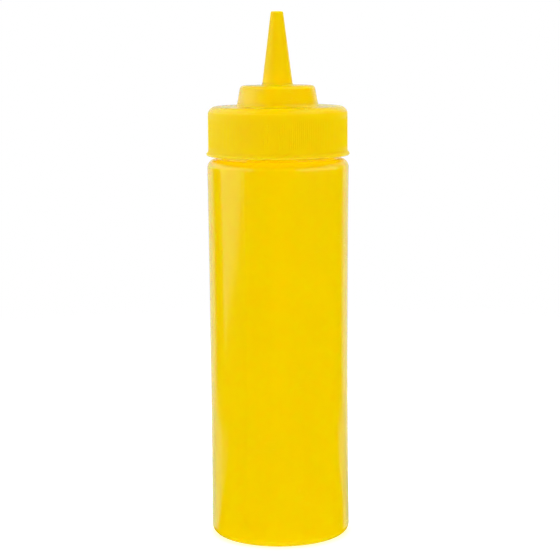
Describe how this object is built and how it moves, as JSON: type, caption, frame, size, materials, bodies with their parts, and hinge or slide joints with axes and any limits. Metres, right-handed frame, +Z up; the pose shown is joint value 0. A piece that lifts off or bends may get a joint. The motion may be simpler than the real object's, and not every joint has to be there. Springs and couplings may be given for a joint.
{
  "type": "cone-tip squeeze bottle",
  "caption": "Opaque cylindrical squeeze bottle for sauce, with a rounded shoulder and a ribbed screw cap that carries a stepped turret and a tapering cone nozzle.",
  "frame": {"origin": "centre of the base, on the plane of the ring that the bottle stands on", "axes": "+Z up along the bottle's axis, towards the tip of the nozzle; the side that the reference view shows faces -Y"},
  "size_m": [0.0718, 0.0718, 0.2645],
  "materials": {
    "bottle_plastic": "satin gloss blown polyethylene, opaque warm yellow",
    "cap_plastic": "satin moulded polyethylene, the same yellow and slightly duller"
  },
  "bodies": {
    "root": {"bottle": "bottle_plastic", "cap": "cap_plastic"}
  },
  "joints": []
}
